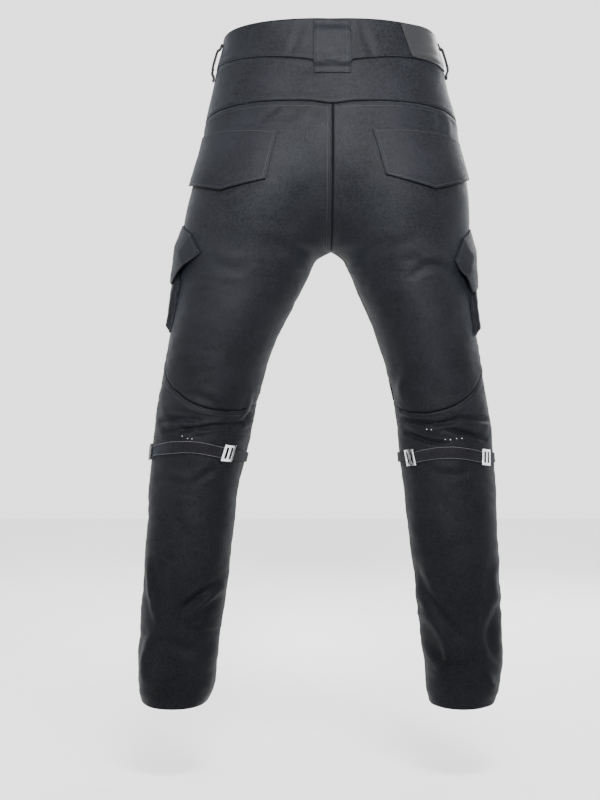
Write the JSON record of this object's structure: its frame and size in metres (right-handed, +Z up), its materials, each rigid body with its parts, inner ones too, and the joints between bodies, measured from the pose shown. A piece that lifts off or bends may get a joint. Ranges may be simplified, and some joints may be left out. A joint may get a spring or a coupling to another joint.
{
  "type": "motorcycle trousers",
  "caption": "Slim dark softshell motorcycle trousers, hollow and open at waist and hems, with cargo pockets, belt loops and knee straps.",
  "frame": {"origin": "middle of the waist opening, level with the waistband's side edges' lower third, on the centre plane", "axes": "+Z up, +Y out of the back of the trousers, +X towards the wearer's left"},
  "size_m": [0.5444, 0.2671, 1.0034],
  "materials": {
    "softshell": "matt woven softshell",
    "strap_elastic": "ribbed woven elastic",
    "patch_leather": "smooth, half glossy",
    "slider_steel": "polished"
  },
  "bodies": {
    "root": {"waistband_back": "softshell", "back_yoke": "softshell", "waistband_front_left": "softshell", "seat_and_thigh_left": "softshell", "calf_back_left": "softshell", "front_thigh_left": "softshell", "front_knee_left": "softshell", "front_shin_left": "softshell", "waistband_front_right": "softshell", "seat_and_thigh_right": "softshell", "calf_back_right": "softshell", "front_thigh_right": "softshell", "front_knee_right": "softshell", "front_shin_right": "softshell", "belt_loop_back": "softshell", "belt_loop_side_left": "softshell", "belt_loop_side_right": "softshell", "belt_loop_front_left": "softshell", "belt_loop_front_right": "softshell", "leather_patch": "patch_leather", "back_pocket_flap_left": "softshell", "cargo_pouch_left": "softshell", "cargo_flap_left": "softshell", "back_pocket_flap_right": "softshell", "cargo_pouch_right": "softshell", "cargo_flap_right": "softshell", "knee_elastic_left": "strap_elastic", "knee_tab_outer_left": "softshell", "strap_slider_outer_left": "slider_steel", "knee_tab_inner_left": "softshell", "strap_slider_inner_left": "slider_steel", "knee_elastic_right": "strap_elastic", "knee_tab_outer_right": "softshell", "strap_slider_outer_right": "slider_steel", "knee_tab_inner_right": "softshell", "strap_slider_inner_right": "slider_steel", "fly_placket": "softshell", "waistband_overlap": "softshell", "waist_button": "slider_steel"}
  },
  "joints": []
}
